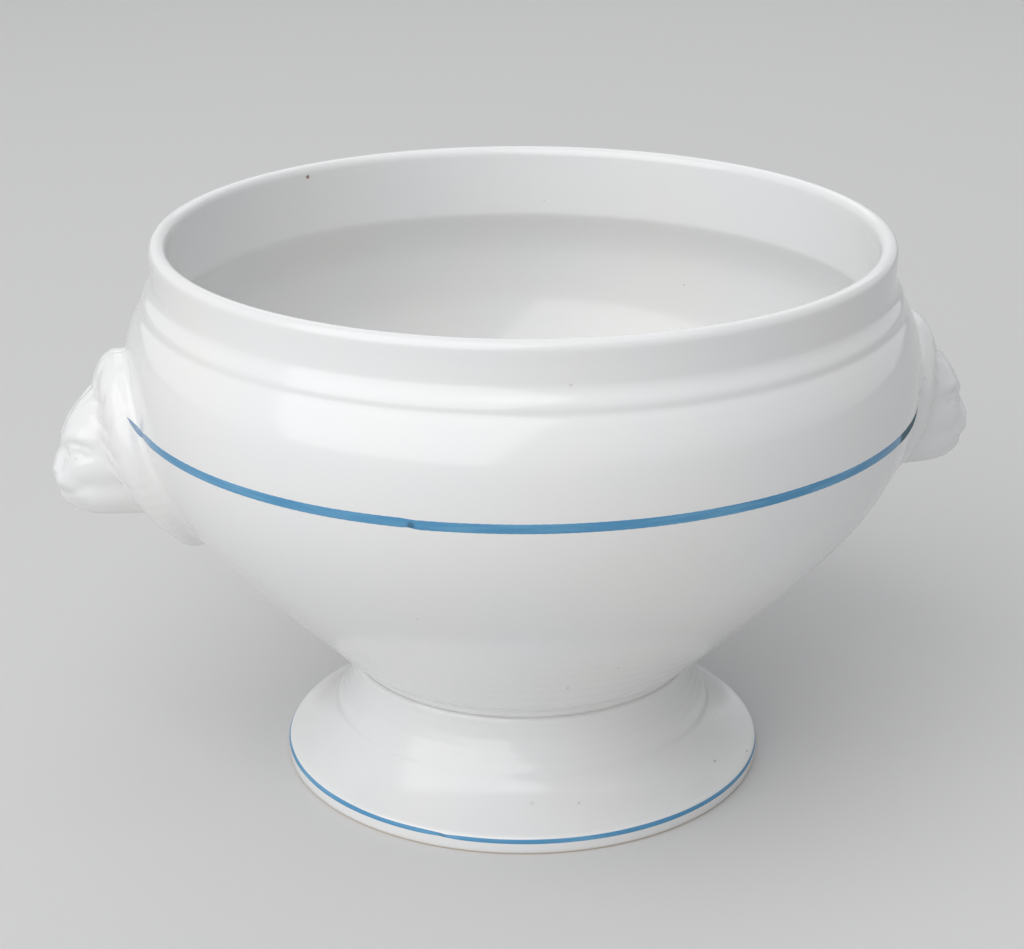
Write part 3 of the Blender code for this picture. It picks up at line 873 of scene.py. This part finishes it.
def painted(name, stations, middles, half_widths, finish, whole):
    """A line of enamel over a surface: a low crown across its width, its edges sunk in the glaze. A
    station gives the way out of the surface, and the surface's place at a height."""
    section = np.array(LINE_SECTION)
    crown = LINE_RISE * np.sqrt(np.maximum(1 - section ** 2, 0)) - LINE_EDGE_SINK
    rows = len(section) + 2
    points = []
    for (outward, surface), middle, half_width in zip(stations, middles, half_widths):
        ground = np.array([surface(height) for height in middle + half_width * section])
        points.append(ground + crown[:, None] * outward)
        points.append(ground[[-2, 1]] - LINE_BED_SINK * outward)
    faces = []
    steps = len(stations)
    for turn in range(steps if whole else steps - 1):
        here, there = turn * rows, (turn + 1) % steps * rows
        for row in range(rows):
            above = (row + 1) % rows
            faces.append((here + row, there + row, there + above, here + above))
    if not whole:
        faces.append(tuple(range(rows))[::-1])
        faces.append(tuple((steps - 1) * rows + row for row in range(rows)))
    return piece(name, np.vstack(points), faces, finish)


def wander(angles, size, seed):
    """A slow, even wander of the brush round the bowl."""
    draw = np.random.default_rng(seed)
    total = np.zeros(len(angles))
    for waves in WANDER_WAVES:
        height = draw.normal() / waves ** WANDER_FALL
        total += height * np.sin(waves * angles + draw.uniform(0, math.tau))
    return size * total


def lap(angles, join, size):
    """The small step in a line where the end of a stroke laps its start."""
    off = (np.degrees(angles) - join) / LAP_SHARPNESS
    return size * np.tanh(off) * np.exp(-np.abs(off) / LAP_FADE)


def about(angles, place, spread):
    """1 at one place round the bowl, falling away on both sides of it, in degrees."""
    return np.exp(-((np.degrees(angles) - place) / spread) ** 2)


def thinning(angles, join, share, past, spread):
    """What is left of a line's width near the place where its strokes meet."""
    return 1 - share * about(angles, join + past, spread)


FOOT_HEIGHTS, FOOT_RADII = foot_profile[::-1, 1], foot_profile[::-1, 0]


def foot_radius(height):
    """The foot's outer radius at a height."""
    return np.interp(height, FOOT_HEIGHTS, FOOT_RADII)


def on_turned(angle, radius):
    """A station on a turned surface, at an angle round it."""
    outward = np.array([math.cos(angle), math.sin(angle), 0])
    return outward, lambda height: radius(height) * outward + (0, 0, height)


def by_head(reach):
    """A station beside the +X head, seen from halfway between its front and its side, so that the wall
    and the flank of the mane both show. The reach is how far it lies along the line that way."""
    outward = np.array([math.sqrt(0.5), math.sqrt(0.5), 0])
    along = reach * np.array([math.sqrt(0.5), -math.sqrt(0.5), 0])

    def surface(height):
        out = math.sqrt(wall_radius(height) ** 2 - reach ** 2)
        start = along + 2 * BELLY[0] * outward + (0, 0, height)
        gap = head_shell.ray_cast(Vector(start), Vector(-outward))[3]
        if gap is not None:
            out = max(out, 2 * BELLY[0] - gap)
        return along + out * outward + (0, 0, height)

    return outward, surface


def line_end(end, flip):
    """The end of a body line by a head, up the flank of the mane to where the brush left it: stations,
    heights over the line's own, and shares of its width. The flip turns the +X head and its +Y side into
    the ones asked for."""
    over_mane, pressed_width, mane_width = end
    stations, reaches, rises, rests = [], [], [], []
    reach = wall_radius(BODY_LINE_HEIGHT) * math.cos(LINE_END_START + math.pi / 4)
    rest = 1.0
    while rest > 0:
        reach += LINE_END_STEP
        outward, surface = by_head(reach)
        rise = 0.0
        for _ in range(LINE_CLIMB_ROUNDS):
            height = BODY_LINE_HEIGHT + rise
            off = max(math.hypot(*surface(height)[:2]) - wall_radius(height), 0)
            rise = 0.5 * rise + 0.5 * LINE_CLIMB * min(off, over_mane)
        rest = max(1 - off / over_mane, 0)
        stations.append((outward * flip, lambda height, surface=surface: surface(height) * flip))
        reaches.append(reach)
        rises.append(rise)
        rests.append(rest)
    to_mane = np.array(reaches) - reaches[np.argmax(np.array(rises) > LINE_MANE_RISE)]
    widths = 1 + (pressed_width - 1) * smooth_rise(to_mane, to_mane[0], -LINE_NARROWING)
    widths -= (pressed_width - mane_width) * smooth_rise(to_mane, -LINE_NARROWING, 0)
    return stations, np.array(rises), np.maximum(widths * rests, LINE_THINNEST)


for name, side in (("front", -1), ("back", 1)):
    sweep = np.linspace(math.pi - LINE_END_START, LINE_END_START, LINE_STEPS)
    middle_part = [on_turned(side * angle, wall_radius) for angle in sweep]
    left_end, left_rise, left_width = line_end(LINE_ENDS[name]["left"], np.array([-1, side, 1]))
    right_end, right_rise, right_width = line_end(LINE_ENDS[name]["right"], np.array([1, side, 1]))
    stations = left_end[::-1] + middle_part + right_end
    if side > 0:
        stations.reverse()
    angles = np.array([math.atan2(*surface(BODY_LINE_HEIGHT)[1::-1]) for _, surface in stations])
    rise = np.concatenate([left_rise[::-1], np.zeros(LINE_STEPS), right_rise])[::-side]
    taper = np.concatenate([left_width[::-1], np.ones(LINE_STEPS), right_width])[::-side]
    middles = BODY_LINE_HEIGHT + BODY_LINE_TILT * np.cos(angles) + rise
    middles += wander(angles, *BODY_LINE_WANDER) - lap(angles, BODY_LINE_JOIN, BODY_LINE_LAP)
    half_widths = (BODY_LINE_HALF_WIDTH + wander(angles, *BODY_LINE_UNEVENNESS)) * taper
    half_widths *= thinning(angles, BODY_LINE_JOIN, *BODY_LINE_THINNING)
    if name == "front":
        second = about(angles, SECOND_STROKE, SECOND_STROKE_SPREAD)
        middles -= SECOND_STROKE_SAG * second
        half_widths *= 1 + SECOND_STROKE_WIDENING * second
    made_name = f"enamel_body_line_{name}"
    line = painted(made_name, stations, middles, half_widths, line_paints[name], False)
    stands_for(line, "blue_paint", f"body_line_{name}")

angles = np.linspace(-math.pi, math.pi, 2 * LINE_STEPS, endpoint=False)
stations = [on_turned(angle, foot_radius) for angle in angles]
middles = FOOT_LINE_HEIGHT + FOOT_LINE_TILT * np.cos(angles)
middles += wander(angles, *FOOT_LINE_WANDER) - lap(angles, FOOT_LINE_JOIN, FOOT_LINE_LAP)
half_widths = FOOT_LINE_HALF_WIDTH + wander(angles, *FOOT_LINE_UNEVENNESS)
half_widths *= thinning(angles, FOOT_LINE_JOIN, *FOOT_LINE_THINNING)
line = painted("enamel_foot_line", stations, middles, half_widths, foot_line_paint, True)
stands_for(line, "blue_paint", "foot_line")


# Stage, light and camera: a lamp is its name, place, aim, size and power, in metres and watts

FLOOR_TONE = colour(0.70, 0.695, 0.69)
FLOOR_ROUGHNESS = 0.85
FLOOR_REACH = 6.0
ROOM_LIGHT = {"Color": colour(0.93, 0.96, 1.0), "Strength": 0.29}
ROOM_SEEN = {"Color": colour(0.86, 0.87, 0.88), "Strength": 1.0}
LAMPS = (
    ("key", (-1.90, -1.70, 1.95), (0, 0, 0.08), (4.2, 4.2), 84),
    ("top", (0.10, -0.30, 2.40), (0, 0, 0.08), (2.4, 2.4), 14),
    ("back", (0.50, 1.50, 1.50), (0, 0, 0.10), (2.0, 1.4), 6),
)


def make_floor():
    """A plain pale floor under the bowl."""
    finish, shader, _ = new_finish("pale_floor")
    shader.inputs["Base Color"].default_value = FLOOR_TONE
    shader.inputs["Roughness"].default_value = FLOOR_ROUGHNESS
    mesh = bpy.data.meshes.new("floor")
    corners = [(FLOOR_REACH * x, FLOOR_REACH * y, 0) for x, y in ((-1, -1), (1, -1), (1, 1), (-1, 1))]
    mesh.from_pydata(corners, [], [(0, 1, 2, 3)])
    mesh.materials.append(finish)
    floor = bpy.data.objects.new("floor", mesh)
    bpy.context.collection.objects.link(floor)


def make_world():
    """A pale room: dim where it lights the bowl, and plain where it is seen or mirrored."""
    world = bpy.data.worlds.new("studio")
    world.use_nodes = True
    bpy.context.scene.world = world
    wire = Wire(world.node_tree)
    lit = wire.node("ShaderNodeBackground", None, ROOM_LIGHT)
    seen = wire.node("ShaderNodeBackground", None, ROOM_SEEN)
    camera_ray = wire.node("ShaderNodeLightPath", output="Is Camera Ray")
    glossy_ray = wire.node("ShaderNodeLightPath", output="Is Glossy Ray")
    through_ray = wire.node("ShaderNodeLightPath", output="Is Transmission Ray")
    share = (camera_ray + glossy_ray + through_ray).step(0.0, 1.0)
    shown = wire.node("ShaderNodeMixShader", None, {0: share, 1: lit, 2: seen})
    output = world.node_tree.nodes["World Output"]
    world.node_tree.links.new(shown.socket, output.inputs["Surface"])


def soft_lamp(name, place, aim, size, power):
    """A flat soft lamp, turned to what it lights."""
    lamp = bpy.data.lights.new(name, "AREA")
    lamp.shape = "RECTANGLE"
    lamp.size, lamp.size_y = size
    lamp.energy = power
    made = bpy.data.objects.new(name, lamp)
    made.location = place
    made.rotation_euler = (Vector(aim) - Vector(place)).to_track_quat("-Z", "Y").to_euler()
    bpy.context.collection.objects.link(made)


def make_camera():
    """The camera, at the photo's angle."""
    data = bpy.data.cameras.new("camera")
    data.lens, data.sensor_width, data.sensor_fit = CAMERA_LENS, SENSOR_WIDTH, "HORIZONTAL"
    camera = bpy.data.objects.new("camera", data)
    bpy.context.collection.objects.link(camera)
    turn = Matrix.Rotation(CAMERA_TURN, 3, "Z")
    level = math.cos(CAMERA_TILT)
    forward = turn @ Vector((math.sin(CAMERA_PAN) * level, math.cos(CAMERA_PAN) * level,
                             -math.sin(CAMERA_TILT)))
    right = turn @ Vector((math.cos(CAMERA_PAN), -math.sin(CAMERA_PAN), 0))
    up = right.cross(forward)
    place = turn @ Vector((0, -CAMERA_DISTANCE * MM, CAMERA_HEIGHT * MM))
    facing = Matrix((right, up, -forward)).transposed().to_4x4()
    camera.matrix_world = Matrix.Translation(place) @ facing
    bpy.context.scene.camera = camera


make_floor()
make_world()
for lamp_values in LAMPS:
    soft_lamp(*lamp_values)
make_camera()
bpy.context.scene.view_settings.view_transform = "Standard"
